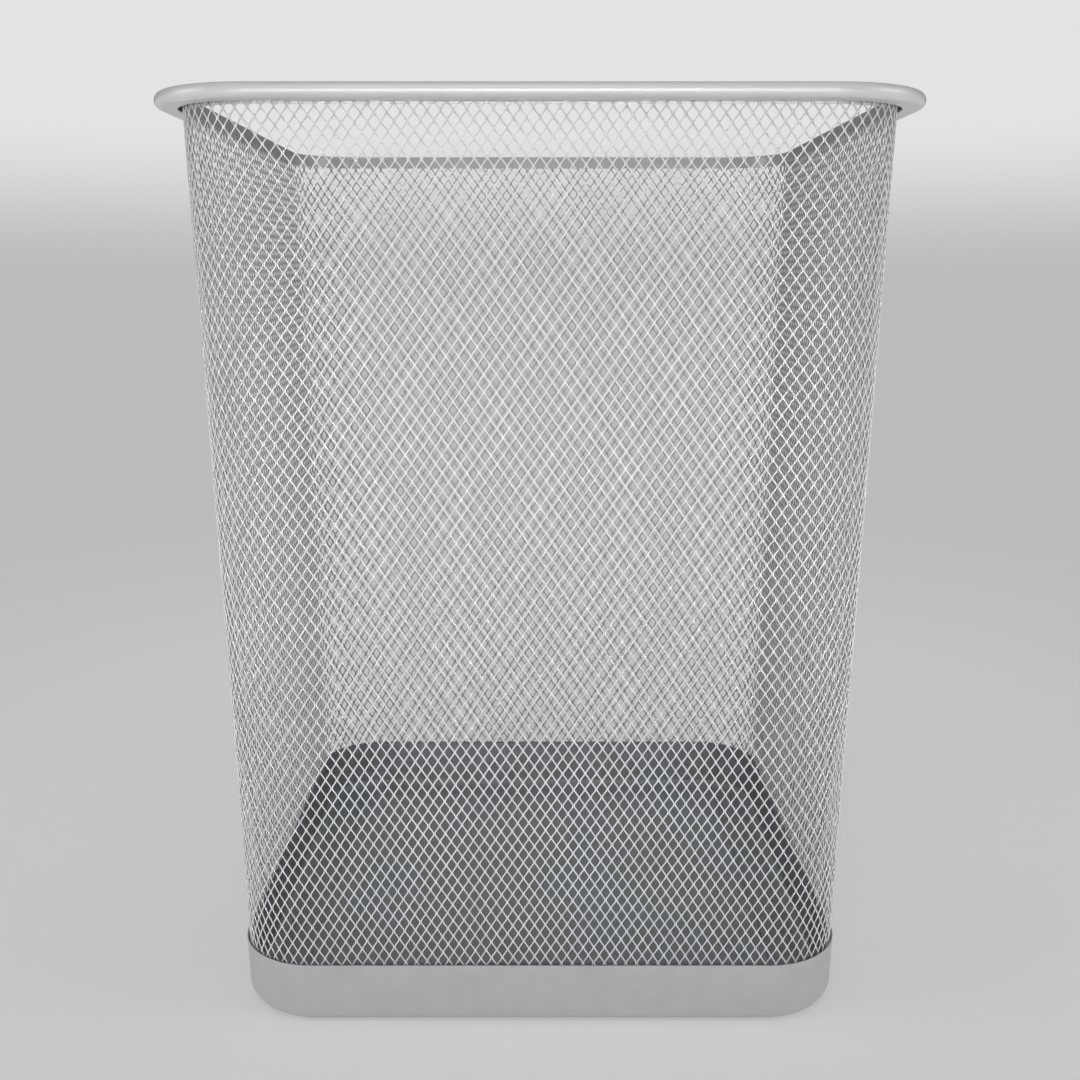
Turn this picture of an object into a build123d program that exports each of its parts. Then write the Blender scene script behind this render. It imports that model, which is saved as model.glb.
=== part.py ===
"""Square steel-mesh wastebasket: an expanded-metal wall held between a rolled rim and a pressed base pan.

Millimetres. +Z is up, the origin is on the ground below the middle of the basket, and -Y is the front.
The wall is a rounded square that widens evenly from the ground to the rim, so every piece that follows it
is described by a height and an outset from the mesh's outer face.
"""

import os
from math import sqrt

from build123d import *

os.makedirs("parts", exist_ok=True)

# ---- Driving dimensions ----

height = 356.0  # ground to the top of the rim
top_width = 259.6  # across the mesh's outer faces, level with the top of the rim
ground_width = 238.6  # across the same two faces, carried down to the ground
corner_radius = 30.0  # of the mesh's outer face at the four upright corners

mesh_depth = 1.0  # front to back of the expanded sheet, whose strands stand at a slant
seam_gap = 0.1  # paint and play between two sheets that are clamped or welded together

# Base pan: a pressed tray whose wall wraps the lower edge of the mesh on the outside
pan_sheet = 0.6
band_height = 25.5  # ground to the top edge of the pan's wall
bottom_edge_radius = 7.5  # between the pan's wall and its underside
foot_width = 14.0  # flat ring that the basket stands on, inside the rounded edge
floor_lift = 2.0  # height of the middle of the floor above the ring
step_edge_radius = 1.0  # where the ring turns up into the step
step_root_radius = 0.8  # where the step meets the raised floor

# Inner band: a strip inside the mesh that clamps its lower edge against the pan's wall
inner_band_sheet = 0.5

# Rim: a strip rolled into a channel, with one leg inside the mesh and a rounded nose outside it
rim_sheet = 0.6
rim_overhang = 9.3  # from the mesh's outer face to the outside of the nose
rim_depth = 5.4  # from the top of the rim to the underside of the nose
rim_slit = 1.2  # open gap between the returned lip and the mesh
inner_leg_height = 6.2  # from the top of the rim to the lower edge of the leg inside the mesh
inner_edge_radius = 1.4  # outer radius of the bend over the inside of the mesh

# ---- Values that follow from them ----

taper = (top_width - ground_width) / 2 / height  # sideways run of each wall for each mm of height
pan_outset = seam_gap + pan_sheet
inner_band_outset = -(mesh_depth + seam_gap)
mesh_top = height - inner_edge_radius


def wall_outline(level, outset=0.0):
    """The wall's rounded square at a height, moved outwards from the mesh's outer face by outset."""
    width = ground_width + 2 * taper * level + 2 * outset
    with BuildSketch(Plane.XY.offset(level)) as outline:
        RectangleRounded(width, width, corner_radius + outset)
    return outline.sketch


def wall_outlines(bottom, top, outset=0.0):
    """The two outlines that a block following the wall is lofted between."""
    return [wall_outline(bottom, outset), wall_outline(top, outset)]


def seat_level(inset):
    """The lowest level at which a sheet, inset from the pan's wall, clears the pan's rounded inner corner."""
    inner_radius = bottom_edge_radius - pan_sheet
    below_centre = sqrt(inner_radius**2 - (inner_radius - inset) ** 2)
    return bottom_edge_radius - below_centre + seam_gap


mesh_bottom = bottom_edge_radius
inner_band_bottom = seat_level(seam_gap + mesh_depth + seam_gap)

# ---- Mesh wall: one expanded sheet bent round the four corners, as the closed skin it occupies ----

with BuildPart() as mesh_wall:
    loft(wall_outlines(mesh_bottom, mesh_top), ruled=True)
    loft(wall_outlines(mesh_bottom, mesh_top, -mesh_depth), ruled=True, mode=Mode.SUBTRACT)

mesh_wall.part.label = "mesh_wall"
export_step(mesh_wall.part, "parts/mesh_wall.step")

# ---- Base pan: floor, raised middle, foot ring, rounded edge and outer wall, all one pressing ----


def pan_block(depth):
    """The solid inside one face of the pan's sheet: 0 deep for the outer face, pan_sheet for the inner one."""
    wall_outset = pan_outset - depth
    ring_outset = pan_outset - bottom_edge_radius - foot_width + depth
    with BuildPart() as block:
        loft(wall_outlines(depth, band_height, wall_outset), ruled=True)
        underside = block.faces().sort_by(Axis.Z)[0]
        fillet(underside.edges(), radius=bottom_edge_radius - depth)
        with BuildSketch(Plane.XY.offset(depth)):
            add(wall_outline(depth, ring_outset))
        extrude(amount=floor_lift, mode=Mode.SUBTRACT)
        lifted_floor = block.faces().filter_by(Axis.Z).sort_by(Axis.Z)[1]
        fillet(lifted_floor.edges(), radius=step_root_radius + depth)
        foot_ring = block.faces().filter_by(Axis.Z).sort_by(Axis.Z)[0]
        fillet(foot_ring.inner_wires().edges(), radius=step_edge_radius - depth)
    return block.part


with BuildPart() as base_pan:
    add(pan_block(0))
    add(pan_block(pan_sheet), mode=Mode.SUBTRACT)

base_pan.part.label = "base_pan"
export_step(base_pan.part, "parts/base_pan.step")

# ---- Inner band: closed strip inside the mesh, level with the top of the pan's wall ----

with BuildPart() as inner_band:
    loft(wall_outlines(inner_band_bottom, band_height, inner_band_outset), ruled=True)
    loft(
        wall_outlines(inner_band_bottom, band_height, inner_band_outset - inner_band_sheet),
        ruled=True,
        mode=Mode.SUBTRACT,
    )

inner_band.part.label = "inner_band"
export_step(inner_band.part, "parts/inner_band.step")

# ---- Rim channel: the rolled section carried round the top of the wall ----

top_half = top_width / 2
corner_centre = top_half - corner_radius
top_level = -rim_sheet / 2  # middle of the strip along the top of the rim
nose_level = -rim_depth + rim_sheet / 2
nose_radius = (top_level - nose_level) / 2
nose_centre = rim_overhang - rim_sheet / 2 - nose_radius
leg_bend = inner_edge_radius - rim_sheet / 2
leg_top = top_level - leg_bend
leg_gap = seam_gap + (sqrt(2) - 1) * taper * inner_leg_height  # the wall leans in further at its corners
leg_outset = -(mesh_depth + leg_gap + rim_sheet / 2)

with BuildPart() as rim_channel:
    with BuildLine(Plane.XY.offset(height)) as rim_path:
        Line((top_half, 0), (top_half, corner_centre))
        CenterArc((corner_centre, corner_centre), corner_radius, 0, 90)
        Line((corner_centre, top_half), (0, top_half))
        mirror(about=Plane.YZ)
        mirror(about=Plane.XZ)
    with BuildSketch(Plane((top_half, 0, height), x_dir=(1, 0, 0), z_dir=(0, -1, 0))) as rim_section:
        with BuildLine() as strip:
            leg = Line(
                (leg_outset - inner_leg_height * taper, -inner_leg_height),
                (leg_outset + leg_top * taper, leg_top),
            )
            bend = TangentArc(leg @ 1, (leg_outset + leg_bend, top_level), tangent=leg % 1)
            web = Line(bend @ 1, (nose_centre, top_level))
            nose = CenterArc((nose_centre, top_level - nose_radius), nose_radius, 90, -180)
            lip = Line(nose @ 1, (rim_slit, nose_level))
        trace(line_width=rim_sheet)
    sweep(sections=rim_section.sketch, path=rim_path.line)

rim_channel.part.label = "rim_channel"
export_step(rim_channel.part, "parts/rim_channel.step")
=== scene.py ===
"""Square steel-mesh wastebasket: the looks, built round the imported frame.

Metres throughout. +Z is up, the origin is on the ground below the middle of the basket, and -Y is the front.
"""

import logging
import math
from dataclasses import dataclass
from enum import Enum
from typing import Any, Iterable, Union

import bmesh
import bpy
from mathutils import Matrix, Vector


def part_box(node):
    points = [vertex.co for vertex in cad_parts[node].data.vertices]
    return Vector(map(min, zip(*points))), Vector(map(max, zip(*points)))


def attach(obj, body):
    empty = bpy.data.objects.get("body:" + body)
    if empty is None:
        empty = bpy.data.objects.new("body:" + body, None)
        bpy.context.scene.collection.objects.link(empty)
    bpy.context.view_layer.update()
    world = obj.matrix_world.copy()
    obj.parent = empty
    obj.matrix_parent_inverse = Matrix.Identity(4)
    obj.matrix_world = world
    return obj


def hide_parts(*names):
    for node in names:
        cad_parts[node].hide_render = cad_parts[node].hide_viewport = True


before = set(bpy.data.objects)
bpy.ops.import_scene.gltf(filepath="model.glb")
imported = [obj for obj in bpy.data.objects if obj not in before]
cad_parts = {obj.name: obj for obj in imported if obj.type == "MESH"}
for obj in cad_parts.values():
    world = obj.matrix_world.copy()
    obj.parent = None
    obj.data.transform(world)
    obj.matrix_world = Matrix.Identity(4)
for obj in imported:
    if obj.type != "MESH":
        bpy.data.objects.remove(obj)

MM = 0.001
WHITE = (1.0, 1.0, 1.0, 1.0)
ROUNDING = 0.01  # keeps a whole number from being floored to the one below it
LOG = logging.getLogger("wastebasket")

Number = Union[int, float]


class Node(Enum):
    """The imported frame's nodes."""

    MESH_WALL = "mesh_wall"
    RIM = "rim_channel"
    PAN = "base_pan"
    BAND = "inner_band"


class Slot(Enum):
    """The record's material slots."""

    MESH = "mesh_paint"
    RIM = "rim_paint"
    PAN = "pan_paint"
    BAND = "band_paint"


# ---------------------------------------------------------------- node trees


class Value:
    """A number or vector that flows through a node tree, with Python's arithmetic signs."""

    def __init__(self, maker: "TreeMaker", socket: bpy.types.NodeSocket) -> None:
        """Wraps one output socket.

        Args:
            maker: the tree maker that adds any further nodes.
            socket: the output socket that carries the value.
        """
        self.maker = maker
        self.socket = socket

    def _math(self, operation: str, *others: Any) -> "Value":
        """Adds a Math node whose first input is this value."""
        return self.maker.math(operation, self, *others)

    def __add__(self, other: Any) -> "Value":
        """self + other."""
        return self._math("ADD", other)

    def __radd__(self, other: Any) -> "Value":
        """other + self."""
        return self._math("ADD", other)

    def __sub__(self, other: Any) -> "Value":
        """self - other."""
        return self._math("SUBTRACT", other)

    def __rsub__(self, other: Any) -> "Value":
        """other - self."""
        return self.maker.math("SUBTRACT", other, self)

    def __mul__(self, other: Any) -> "Value":
        """self * other."""
        return self._math("MULTIPLY", other)

    def __rmul__(self, other: Any) -> "Value":
        """other * self."""
        return self._math("MULTIPLY", other)

    def __truediv__(self, other: Any) -> "Value":
        """self / other."""
        return self._math("DIVIDE", other)

    def __rtruediv__(self, other: Any) -> "Value":
        """other / self."""
        return self.maker.math("DIVIDE", other, self)

    def __pow__(self, other: Any) -> "Value":
        """self ** other."""
        return self._math("POWER", other)

    def __rpow__(self, other: Any) -> "Value":
        """other ** self."""
        return self.maker.math("POWER", other, self)

    def __neg__(self) -> "Value":
        """-self."""
        return self._math("MULTIPLY", -1)

    def __abs__(self) -> "Value":
        """abs(self)."""
        return self._math("ABSOLUTE")


class TreeMaker:
    """Adds nodes to a shader or geometry tree from their type, settings and socket values."""

    def __init__(self, tree: bpy.types.NodeTree) -> None:
        """Starts on a tree.

        Args:
            tree: the node tree that gets the nodes.
        """
        self.tree = tree

    def node(self, kind: str, settings: dict[str, Any] | None = None, **inputs: Any) -> bpy.types.Node:
        """Adds one node.

        Args:
            kind: the node's type, such as ShaderNodeMath.
            settings: the node's own properties.
            **inputs: socket values or links, by socket name with _ for a space, or i0, i1, ... by place.

        Returns:
            The new node.
        """
        made = self.tree.nodes.new(kind)
        for name, setting in (settings or {}).items():
            setattr(made, name, setting)
        for name, given in inputs.items():
            if name[0] == "i" and name[1:].isdigit():
                socket = made.inputs[int(name[1:])]
            else:
                socket = made.inputs[name.replace("_", " ")]
            if isinstance(given, Value):
                self.tree.links.new(given.socket, socket)
            elif isinstance(given, bpy.types.NodeSocket):
                self.tree.links.new(given, socket)
            else:
                socket.default_value = given
        return made

    def value(self, kind: str, settings: dict[str, Any] | None = None, out: Any = 0, **inputs: Any) -> Value:
        """Adds one node and returns one of its outputs.

        Args:
            kind: the node's type.
            settings: the node's own properties.
            out: the output's name or place.
            **inputs: as for node().

        Returns:
            The chosen output.
        """
        return Value(self, self.node(kind, settings, **inputs).outputs[out])

    def math(self, operation: str, *terms: Any) -> Value:
        """Adds a Math node.

        Args:
            operation: the Math node's operation.
            *terms: its one, two or three inputs.

        Returns:
            The result.
        """
        inputs = {f"i{place}": term for place, term in enumerate(terms)}
        return self.value("ShaderNodeMath", {"operation": operation}, **inputs)

    def choose(self, condition: Value, if_one: Any, if_zero: Any) -> Value:
        """if_one where condition is 1, and if_zero where it is 0."""
        return condition * if_one + (1 - condition) * if_zero

    def vector(self, x: Any, y: Any, z: Any) -> Value:
        """A vector from its three parts."""
        return self.value("ShaderNodeCombineXYZ", X=x, Y=y, Z=z)

    def parts(self, vector: Any) -> tuple[Value, Value, Value]:
        """The three parts of a vector."""
        split = self.node("ShaderNodeSeparateXYZ", i0=vector)
        return tuple(Value(self, socket) for socket in split.outputs)

    def blend(self, amount: Any, first: Any, second: Any) -> Value:
        """A colour between two others, first where amount is 0 and second where it is 1."""
        mix = self.node("ShaderNodeMix", {"data_type": "RGBA"})
        sockets = [s for s in mix.inputs if s.enabled]
        for socket, given in zip(sockets, (amount, first, second)):
            if isinstance(given, Value):
                self.tree.links.new(given.socket, socket)
            else:
                socket.default_value = given
        return Value(self, next(s for s in mix.outputs if s.enabled))


# ---------------------------------------------------------------- finishes


@dataclass(frozen=True)
class PowderCoat:
    """A silver-grey powder coat: satin, faintly mottled, with the orange peel that baked powder has.

    Where a colour for inward faces is given, faces that look back at the middle get that darker colour:
    painted shade for the shade inside the basket. The two colours meet where the cosine between a face and
    the way out from the middle is near facing_edge.
    """

    name: str
    colour: tuple[float, float, float]
    roughness: float = 0.42
    metallic: float = 0.25
    mottle: float = 0.05
    mottle_size: float = 9 * MM
    mottle_roughness: float = 0.12
    peel: float = 0.12
    peel_size: float = 0.9 * MM
    peel_height: float = 0.05 * MM
    fleck: float = 0.10
    fleck_size: float = 0.35 * MM
    fleck_roughness: float = 0.10
    gloss: float = 0.25
    gloss_roughness: float = 0.34
    inside_painted_shade: tuple[float, float, float] | None = None
    middle: tuple[float, float, float] = (0.0, 0.0, 178 * MM)
    facing_edge: float = 0.0
    facing_blur: float = 0.15

    @staticmethod
    def shade(colour: tuple[float, float, float], factor: float) -> tuple[float, float, float, float]:
        """A colour made lighter or darker by a factor."""
        red, green, blue = (min(1.0, part * factor) for part in colour)
        return red, green, blue, 1.0

    def outward(self, make: TreeMaker, place: Value) -> Value:
        """Tells faces that look out of the basket from those that look in, which get the painted shade.

        Args:
            make: the tree maker.
            place: the point on the surface.

        Returns:
            1 on outward faces, 0 on inward ones.
        """
        normal = make.value("ShaderNodeTexCoord", out="Normal")
        from_middle = make.value("ShaderNodeVectorMath", {"operation": "SUBTRACT"}, i0=place, i1=self.middle)
        direction = make.value("ShaderNodeVectorMath", {"operation": "NORMALIZE"}, i0=from_middle)
        facing = make.value(
            "ShaderNodeVectorMath", {"operation": "DOT_PRODUCT"}, out="Value", i0=normal, i1=direction
        )
        low, high = self.facing_edge - self.facing_blur, self.facing_edge + self.facing_blur
        return make.value("ShaderNodeMapRange", Value=facing, From_Min=low, From_Max=high)

    def material(self) -> bpy.types.Material:
        """Makes the finish.

        Returns:
            The new material.
        """
        material = bpy.data.materials.new(self.name)
        material.use_nodes = True
        material.node_tree.nodes.clear()
        make = TreeMaker(material.node_tree)
        place = make.value("ShaderNodeTexCoord", out="Object")
        cloudy = make.value("ShaderNodeTexNoise", Vector=place, Scale=1 / self.mottle_size, Detail=3.0)
        flecks = make.value("ShaderNodeTexNoise", Vector=place, Scale=1 / self.fleck_size, Detail=1.0)
        peel = make.value("ShaderNodeTexNoise", Vector=place, Scale=1 / self.peel_size, Detail=2.0)
        amount = cloudy * (1 - self.fleck) + flecks * self.fleck
        darker, lighter = 1 - 2 * self.mottle, 1 + 2 * self.mottle
        colour = make.blend(amount, self.shade(self.colour, darker), self.shade(self.colour, lighter))
        # Faces that look into the basket get a darker colour: painted shade for the shade inside.
        if self.inside_painted_shade:
            shaded_colour = make.blend(amount, self.shade(self.inside_painted_shade, darker), self.shade(self.inside_painted_shade, lighter))
            colour = make.blend(self.outward(make, place), shaded_colour, colour)
        roughness = (
            self.roughness
            + (cloudy - 0.5) * self.mottle_roughness
            + (flecks - 0.5) * self.fleck_roughness
        )
        normal = make.value("ShaderNodeBump", Strength=self.peel, Distance=self.peel_height, Height=peel)
        coat = make.value(
            "ShaderNodeBsdfPrincipled",
            Base_Color=colour,
            Roughness=roughness,
            Metallic=self.metallic,
            Coat_Weight=self.gloss,
            Coat_Roughness=self.gloss_roughness,
            Normal=normal,
        )
        make.node("ShaderNodeOutputMaterial", Surface=coat)
        return material


# ---------------------------------------------------------------- shared shape


@dataclass(frozen=True)
class WallForm:
    """The rounded square that the wall follows: its width grows evenly with height."""

    ground_width: float
    taper: float
    corner_radius: float
    bottom: float
    top: float

    @classmethod
    def from_frame(cls, corner_radius: float, pan_outset: float) -> "WallForm":
        """Reads the wall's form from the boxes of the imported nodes.

        Args:
            corner_radius: the radius of the mesh's outer face at its upright corners.
            pan_outset: how far the pan's wall stands outside the mesh.

        Returns:
            The form of the mesh's outer face.
        """
        mesh_low, mesh_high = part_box(Node.MESH_WALL.value)
        _, pan_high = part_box(Node.PAN.value)
        taper = (mesh_high.x - (pan_high.x - pan_outset)) / (mesh_high.z - pan_high.z)
        ground_width = 2 * (mesh_high.x - taper * mesh_high.z)
        return cls(ground_width, taper, corner_radius, mesh_low.z, mesh_high.z)


# ---------------------------------------------------------------- expanded sheet


@dataclass
class ExpandedSheet:
    """The mesh wall: wavy upright strands that meet their neighbours in short bonds, left and right in turn.

    A half row is the height from one bond to the next, and bond and bend are shares of it.
    """

    form: WallForm
    coat: bpy.types.Material
    panels: int = 8
    columns: int = 216
    rows: int = 53
    spare_rows: int = 1
    pitch_ratio: float = 1.07
    strand_width: float = 0.52 * MM
    strand_thickness: float = 0.42 * MM
    slant: float = math.radians(-7)
    depth: float = 1.0 * MM
    bond: float = 0.10
    bend: float = 0.10
    swell: float = 0.18
    climb: float = 4 * MM
    bow: float = 1.5 * MM
    bows_up_the_wall: float = 0.8
    stations_per_half_row: int = 4

    def inputs(self) -> dict[str, tuple[str, Number]]:
        """The tree's named inputs: socket type and value."""
        return {
            "Strands": ("NodeSocketInt", 2 * self.columns // self.panels),
            "First Strand": ("NodeSocketInt", 0),
            "Strands All Round": ("NodeSocketInt", 2 * self.columns),
            "Half Rows": ("NodeSocketInt", 2 * self.rows),
            "Spare Half Rows": ("NodeSocketInt", 2 * self.spare_rows),
            "Bottom": ("NodeSocketFloat", self.form.bottom),
            "Top": ("NodeSocketFloat", self.form.top),
            "Ground Width": ("NodeSocketFloat", self.form.ground_width),
            "Taper": ("NodeSocketFloat", self.form.taper),
            "Corner Radius": ("NodeSocketFloat", self.form.corner_radius),
            "Sheet Depth": ("NodeSocketFloat", self.depth),
            "Pitch Ratio": ("NodeSocketFloat", self.pitch_ratio),
            "Strand Width": ("NodeSocketFloat", self.strand_width),
            "Strand Thickness": ("NodeSocketFloat", self.strand_thickness),
            "Slant": ("NodeSocketFloat", self.slant),
            "Bond": ("NodeSocketFloat", self.bond),
            "Bend": ("NodeSocketFloat", self.bend),
        }

    def tree(self) -> bpy.types.NodeTree:
        """Makes the geometry tree for one panel of the sheet.

        Returns:
            The node tree, whose inputs are those that inputs() names.
        """
        tree = bpy.data.node_groups.new("expanded_sheet", "GeometryNodeTree")
        for name, (kind, start) in self.inputs().items():
            socket = tree.interface.new_socket(name, in_out="INPUT", socket_type=kind)
            socket.default_value = start
        tree.interface.new_socket("Geometry", in_out="OUTPUT", socket_type="NodeSocketGeometry")
        make = TreeMaker(tree)
        given = {s.name: Value(make, s) for s in make.node("NodeGroupInput").outputs if s.name}

        per_half = self.stations_per_half_row
        half_rows = given["Half Rows"] + 2 * given["Spare Half Rows"]
        segments = half_rows * per_half - 1
        prism = make.value(
            "GeometryNodeMeshCylinder",
            {"fill_type": "NGON"},
            out="Mesh",
            Vertices=4,
            Side_Segments=segments,
            Radius=1.0,
            Depth=segments,
        )
        stems = make.value("GeometryNodeMeshLine", Count=given["Strands"], Offset=(0, 0, 0))
        strands = make.value("GeometryNodeInstanceOnPoints", Points=stems, Instance=prism)
        number = make.value("GeometryNodeInputIndex") + given["First Strand"]
        strands = make.value(
            "GeometryNodeStoreNamedAttribute",
            {"data_type": "FLOAT", "domain": "INSTANCE"},
            Geometry=strands,
            Name="strand",
            Value=number,
        )
        strands = make.value("GeometryNodeRealizeInstances", Geometry=strands)
        placed = make.value(
            "GeometryNodeSetPosition", Geometry=strands, Position=self.place(make, given, segments)
        )
        smooth = make.value("GeometryNodeSetShadeSmooth", Geometry=placed)
        plain = make.value("GeometryNodeRemoveAttribute", Geometry=smooth, Name="strand")
        whole = make.value("GeometryNodeRealizeInstances", Geometry=plain)
        done = make.value("GeometryNodeSetMaterial", Geometry=whole, Material=self.coat)
        make.node("NodeGroupOutput", Geometry=done)
        return tree

    def place(self, make: TreeMaker, given: dict[str, Value], segments: Value) -> Value:
        """Works out where each corner of each strand goes.

        Args:
            make: the tree maker.
            given: the tree's inputs by name.
            segments: how many segments each strand's prism has.

        Returns:
            The position, as a vector field.
        """
        strand = make.value(
            "GeometryNodeInputNamedAttribute", {"data_type": "FLOAT"}, out="Attribute", Name="strand"
        )
        x, y, z = make.parts(make.value("GeometryNodeInputPosition"))
        across = make.math("SIGN", -(x + y))
        outwards = make.math("SIGN", y - x)
        station = make.math("ROUND", z + segments / 2) + 1

        # How far up the strand: four stations to a half row, two on its bond and two where it bends away.
        per_half = self.stations_per_half_row
        half_row = make.math("FLOOR", station / per_half + ROUNDING)
        step = station - half_row * per_half
        after_bond = make.math("GREATER_THAN", step, 0.5)
        after_bend = make.math("GREATER_THAN", step, 1.5)
        before_next = make.math("GREATER_THAN", step, 2.5)
        reach = given["Bond"] + given["Bend"]
        along = (
            -given["Bond"]
            + after_bond * 2 * given["Bond"]
            + after_bend * given["Bend"]
            + before_next * (1 - 2 * reach)
        )
        risen = half_row + along - given["Spare Half Rows"]
        share = risen / given["Half Rows"]
        ratio = given["Pitch Ratio"]
        level = given["Bottom"] + (given["Top"] - given["Bottom"]) * (1 - ratio ** -share) / (1 - 1 / ratio)

        # Which way the strand leans: +1 where it meets the strand on its right, -1 on its left.
        parity = make.math("FLOORED_MODULO", half_row + strand, 2)
        side = 1 - 2 * parity
        softened = given["Bend"] / (1 - 2 * given["Bond"] - given["Bend"])
        lean = side * (1 - after_bend * softened) * (1 - 2 * before_next)

        # Across the sheet, in the slanted section of the strand.
        run = make.math("COSINE", given["Slant"])
        rise = make.math("SINE", given["Slant"])
        widened = 1 + after_bend * self.swell
        half_width = given["Strand Width"] / 2
        half_thick = given["Strand Thickness"] / 2
        forward = (across - lean) * half_width * rise + outwards * half_thick * run
        sideways = across * half_width * run * widened - outwards * half_thick * rise

        # Round the rounded square at this level, from the middle of the back.
        level = self.settle(make, given, level, strand)
        straight = given["Ground Width"] + 2 * given["Taper"] * level - 2 * given["Corner Radius"]
        quarter = straight + given["Corner Radius"] * (math.pi / 2)
        spacing = 4 * quarter / given["Strands All Round"]
        travel = (strand + 0.5) * spacing + lean * (spacing / 2 - half_width * run) + sideways
        face = make.math("ROUND", travel / quarter)
        local = travel - face * quarter
        hand = make.math("SIGN", local)
        distance = abs(local)
        flat = make.math("MINIMUM", distance, straight / 2)
        turn = (distance - flat) / given["Corner Radius"]
        radius = given["Corner Radius"] - given["Sheet Depth"] / 2 + forward
        beside = hand * (flat + radius * make.math("SINE", turn))
        ahead = straight / 2 + radius * make.math("COSINE", turn)
        facing = face * (math.pi / 2)
        cosine = make.math("COSINE", facing)
        sine = make.math("SINE", facing)
        return make.vector(-beside * cosine - ahead * sine, ahead * cosine - beside * sine, level)

    def settle(self, make: TreeMaker, given: dict[str, Value], level: Value, strand: Value) -> Value:
        """Lets the rows wander a little, as they do in a sheet that has been stretched and rolled.

        Args:
            make: the tree maker.
            given: the tree's inputs by name.
            level: the height of each point in an undisturbed sheet.
            strand: the number of each point's strand.

        Returns:
            The height, kept between the sheet's two cut edges.
        """
        round_share = strand / given["Strands All Round"] - 0.5
        climb = make.math("SINE", round_share * math.tau) * self.climb
        arch = make.math("COSINE", round_share * (4 * math.tau))
        bow = make.math("COSINE", level / given["Top"] * (self.bows_up_the_wall * math.tau)) * self.bow
        moved = level + climb + arch * bow
        return make.value("ShaderNodeClamp", Value=moved, Min=given["Bottom"], Max=given["Top"])

    def build(self) -> list[bpy.types.Object]:
        """Makes the sheet, panel by panel round the wall.

        Returns:
            The panels.
        """
        tree = self.tree()
        per_panel = 2 * self.columns // self.panels
        made = [self.panel(tree, place, place * per_panel) for place in range(self.panels)]
        bpy.data.node_groups.remove(tree)
        return made

    def panel(self, tree: bpy.types.NodeTree, place: int, first_strand: int) -> bpy.types.Object:
        """Makes one panel as a plain mesh.

        Args:
            tree: the geometry tree.
            place: the panel's number, from the back round to the back.
            first_strand: the number of its first strand.

        Returns:
            The panel's object.
        """
        name = f"mesh_panel_{place + 1}"
        holder = bpy.data.objects.new(name, bpy.data.meshes.new(name))
        bpy.context.scene.collection.objects.link(holder)
        modifier = holder.modifiers.new("expand", "NODES")
        modifier.node_group = tree
        identifiers = {s.name: s.identifier for s in tree.interface.items_tree if s.in_out == "INPUT"}
        for input_name, (_, setting) in self.inputs().items():
            modifier[identifiers[input_name]] = setting
        modifier[identifiers["First Strand"]] = first_strand
        evaluated = holder.evaluated_get(bpy.context.evaluated_depsgraph_get())
        mesh = bpy.data.meshes.new_from_object(evaluated)
        mesh.name = name
        holder.modifiers.remove(modifier)
        empty = holder.data
        holder.data = mesh
        bpy.data.meshes.remove(empty)
        LOG.info("%s: %d faces", name, len(mesh.polygons))
        return holder


# ---------------------------------------------------------------- pressed and rolled strips


@dataclass
class FormedSheet:
    """A plain piece bent from sheet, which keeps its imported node's shape and gets smooth bends."""

    node: Node
    name: str
    coat: bpy.types.Material
    crease: float = math.radians(30)
    weld: float = 0.002 * MM
    flat_weight: int = 100

    def build(self) -> bpy.types.Object:
        """Makes the piece from a copy of the node's triangles.

        Returns:
            The piece's object.
        """
        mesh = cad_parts[self.node.value].data.copy()
        mesh.name = self.name
        self.merge(mesh)
        mesh.materials.clear()
        mesh.materials.append(self.coat)
        piece = bpy.data.objects.new(self.name, mesh)
        bpy.context.scene.collection.objects.link(piece)
        self.even_out(piece)
        LOG.info("%s: %d faces", self.name, len(piece.data.polygons))
        return piece

    def merge(self, mesh: bpy.types.Mesh) -> None:
        """Joins the loose triangles, and marks the edges that stay sharp.

        Args:
            mesh: the copied mesh.
        """
        shape = bmesh.new()
        shape.from_mesh(mesh)
        bmesh.ops.remove_doubles(shape, verts=shape.verts, dist=self.weld)
        for face in shape.faces:
            face.smooth = True
        for edge in shape.edges:
            edge.smooth = edge.is_manifold and edge.calc_face_angle() < self.crease
        shape.to_mesh(mesh)
        shape.free()

    def even_out(self, piece: bpy.types.Object) -> None:
        """Lets the broad flat faces rule the shading beside a bend, so that flats stay flat.

        Args:
            piece: the piece's object.
        """
        modifier = piece.modifiers.new("flats", "WEIGHTED_NORMAL")
        modifier.keep_sharp = True
        modifier.weight = self.flat_weight
        evaluated = piece.evaluated_get(bpy.context.evaluated_depsgraph_get())
        mesh = bpy.data.meshes.new_from_object(evaluated)
        mesh.name = self.name
        piece.modifiers.remove(modifier)
        rough = piece.data
        piece.data = mesh
        bpy.data.meshes.remove(rough)


# ---------------------------------------------------------------- studio


@dataclass(frozen=True)
class Lamp:
    """One soft lamp: where it hangs, the sides of its face, its power in watts, and its beam's angle."""

    name: str
    place: tuple[float, float, float]
    sides: tuple[float, float]
    power: float
    shines_on: tuple[float, float, float] = (0.0, 0.0, 0.2)
    beam: float = math.pi

    def build(self) -> None:
        """Makes the lamp, which the camera doesn't see."""
        light = bpy.data.lights.new(self.name, "AREA")
        light.shape = "RECTANGLE"
        light.size, light.size_y = self.sides
        light.energy = self.power
        light.spread = self.beam
        lamp = bpy.data.objects.new(self.name, light)
        lamp.location = self.place
        lamp.visible_camera = False
        aim = Vector(self.shines_on) - Vector(self.place)
        lamp.rotation_euler = aim.to_track_quat("-Z", "Y").to_euler()
        bpy.context.scene.collection.objects.link(lamp)


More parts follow.
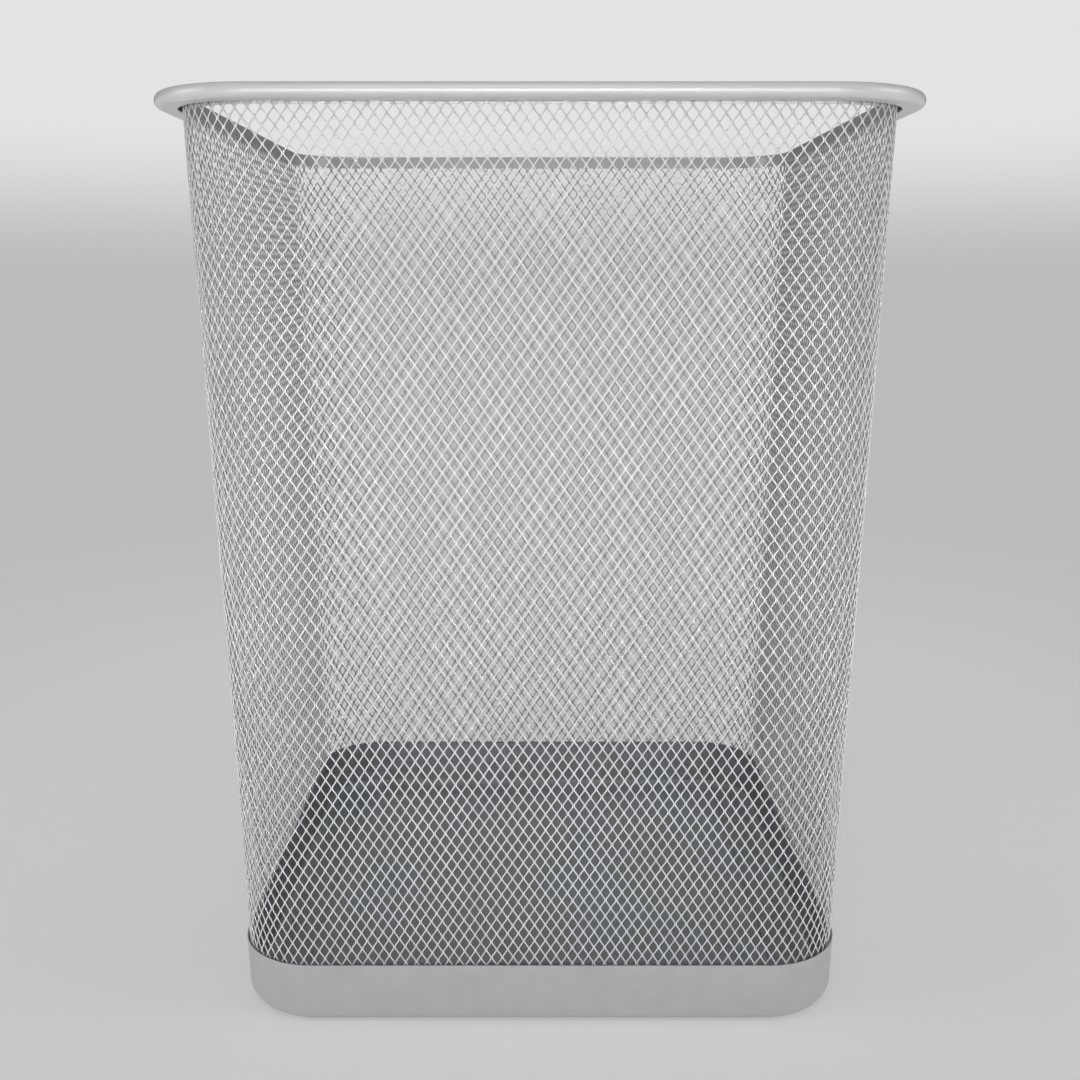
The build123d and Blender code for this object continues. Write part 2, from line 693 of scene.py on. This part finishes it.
@dataclass
class Studio:
    """Pale floor, soft light and the camera."""

    form: WallForm
    floor_size: float = 60.0
    focal_length: float = 41.83
    camera_distance: float = 444.5 * MM
    camera_height: float = 290.7 * MM
    camera_pitch: float = math.radians(9.555)
    camera_shift: float = -0.0463
    sensor_width: float = 36.0
    backdrop: float = 0.50
    backdrop_top: float = 0.77
    backdrop_rise: float = 0.12
    zenith: float = 0.48
    horizon: float = 0.02
    haze_rise: float = 0.06
    floor_tone: float = 0.82
    floor_glow: float = 0.15
    floor_roughness: float = 0.9
    floor_shine: float = 0.1
    sweep_start: float = 0.25
    sweep_end: float = 1.3
    lamps: tuple[Lamp, ...] = (
        Lamp("left", (-3.0, -0.9, 0.9), (1.6, 1.6), 15.0),
        Lamp("right", (3.0, -0.9, 1.0), (1.6, 1.6), 15.0),
        Lamp("front", (0.0, -0.95, 0.30), (1.0, 0.12), 0.56, (0.0, -0.13, 0.185), math.radians(36)),
        Lamp("key", (-0.2, -2.3, 2.3), (0.9, 0.9), 7.0),
        Lamp("streak", (0.0, -0.80, 0.03), (1.4, 0.05), 0.10, (0.0, -0.14, 0.353), math.radians(36)),
    )

    def build(self) -> None:
        """Makes the floor, the light and the camera."""
        self.floor()
        self.sky()
        for lamp in self.lamps:
            lamp.build()
        self.camera()

    def floor(self) -> None:
        """Makes the plain floor."""
        half = self.floor_size / 2
        corners = [(-half, -half, 0), (half, -half, 0), (half, half, 0), (-half, half, 0)]
        mesh = bpy.data.meshes.new("floor")
        mesh.from_pydata(corners, [], [(0, 1, 2, 3)])
        floor = bpy.data.objects.new("floor", mesh)
        bpy.context.scene.collection.objects.link(floor)
        material = bpy.data.materials.new("floor_paint")
        material.use_nodes = True
        material.node_tree.nodes.clear()
        make = TreeMaker(material.node_tree)
        x, y, _ = make.parts(make.value("ShaderNodeTexCoord", out="Object"))
        far = make.value(
            "ShaderNodeMapRange",
            {"interpolation_type": "SMOOTHSTEP"},
            Value=make.math("SQRT", x * x + y * y),
            From_Min=self.sweep_start,
            From_Max=self.sweep_end,
        )
        near = make.value(
            "ShaderNodeBsdfPrincipled",
            Base_Color=(self.floor_tone, self.floor_tone, self.floor_tone, 1),
            Roughness=self.floor_roughness,
            Specular_IOR_Level=self.floor_shine,
            Emission_Color=WHITE,
            Emission_Strength=self.floor_glow,
        )
        sweep = make.value("ShaderNodeEmission", Strength=self.backdrop)
        both = make.value("ShaderNodeMixShader", i0=far, i1=near, i2=sweep)
        make.node("ShaderNodeOutputMaterial", Surface=both)
        mesh.materials.append(material)

    def sky(self) -> None:
        """Makes the pale surroundings: plain to the eye, and lighter overhead than level with the basket."""
        world = bpy.data.worlds.new("studio")
        world.use_nodes = True
        world.node_tree.nodes.clear()
        make = TreeMaker(world.node_tree)
        seen = make.value("ShaderNodeLightPath", out="Is Camera Ray")
        _, _, up = make.parts(make.value("ShaderNodeTexCoord", out="Generated"))
        height = make.math("MAXIMUM", up, 0)
        haze = make.value(
            "ShaderNodeMapRange",
            Value=up,
            From_Min=0.0,
            From_Max=self.haze_rise,
            To_Min=self.backdrop - self.horizon,
            To_Max=0.0,
        )
        glow = self.horizon + (self.zenith - self.horizon) * height + haze
        behind = make.value(
            "ShaderNodeMapRange",
            {"interpolation_type": "SMOOTHSTEP"},
            Value=up,
            From_Min=0.0,
            From_Max=self.backdrop_rise,
            To_Min=self.backdrop,
            To_Max=self.backdrop_top,
        )
        sky = make.value("ShaderNodeBackground", Color=WHITE, Strength=make.choose(seen, behind, glow))
        make.node("ShaderNodeOutputWorld", Surface=sky)
        bpy.context.scene.world = world

    def camera(self) -> None:
        """Makes the camera, in front of the basket and a little above its middle."""
        lens = bpy.data.cameras.new("camera")
        lens.lens = self.focal_length
        lens.sensor_width = self.sensor_width
        lens.shift_y = self.camera_shift
        camera = bpy.data.objects.new("camera", lens)
        front = self.form.ground_width / 2 + self.form.taper * self.form.top
        camera.location = (0, -front - self.camera_distance, self.camera_height)
        camera.rotation_euler = (math.pi / 2 - self.camera_pitch, 0, 0)
        bpy.context.scene.collection.objects.link(camera)
        bpy.context.scene.camera = camera
        bpy.context.scene.view_settings.view_transform = "Standard"


# ---------------------------------------------------------------- the whole basket


def hand_over(pieces: Iterable[bpy.types.Object], node: Node) -> None:
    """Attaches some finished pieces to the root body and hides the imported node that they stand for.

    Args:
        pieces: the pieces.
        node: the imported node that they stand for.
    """
    for piece in pieces:
        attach(piece, "root")
        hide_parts(node.value)


def main() -> None:
    """Builds the basket and its studio in order."""
    logging.basicConfig(level=logging.INFO, format="%(name)s: %(message)s")
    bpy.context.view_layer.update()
    form = WallForm.from_frame(corner_radius=30 * MM, pan_outset=0.7 * MM)

    # The mesh is the same silver paint as the pan: its lighter colour is painted light for the sheen the
    # strands catch, and the darker colour of its inward faces is painted shade.
    mesh_coat = PowderCoat("mesh_coat", (0.82, 0.82, 0.82), metallic=0.45, inside_painted_shade=(0.39, 0.39, 0.395))
    sheet = ExpandedSheet(form, mesh_coat.material()).build()
    hand_over(sheet, Node.MESH_WALL)

    # The rim is the same silver paint as the pan: its lighter colour is painted light for the light the rim
    # catches, and the darker colour of its inner face is painted shade.
    rim_coat = PowderCoat(
        "rim_coat",
        (0.76, 0.77, 0.77),
        gloss=0.5,
        gloss_roughness=0.17,
        inside_painted_shade=(0.50, 0.51, 0.52),
        middle=(0.0, 0.0, 350 * MM),
        facing_edge=-0.6,
    )
    # The pan's inward faces get a darker, bluer colour: painted shade inside the basket.
    pan_coat = PowderCoat("pan_coat", (0.525, 0.537, 0.54), inside_painted_shade=(0.285, 0.314, 0.342))
    # The strip is the same silver paint as the pan: its dark, bluish colour is painted shade, as it sits in
    # the shade inside the basket.
    band_coat_painted_shade = PowderCoat("band_coat_painted_shade", (0.22, 0.236, 0.256))
    for node, slot, name, coat in (
        (Node.RIM, Slot.RIM, "rim_roll", rim_coat),
        (Node.PAN, Slot.PAN, "pressed_pan", pan_coat),
        (Node.BAND, Slot.BAND, "clamp_strip", band_coat_painted_shade),
    ):
        piece = FormedSheet(node, name, coat.material()).build()
        hand_over([piece], node)

    Studio(form).build()


if __name__ == "__main__":
    main()
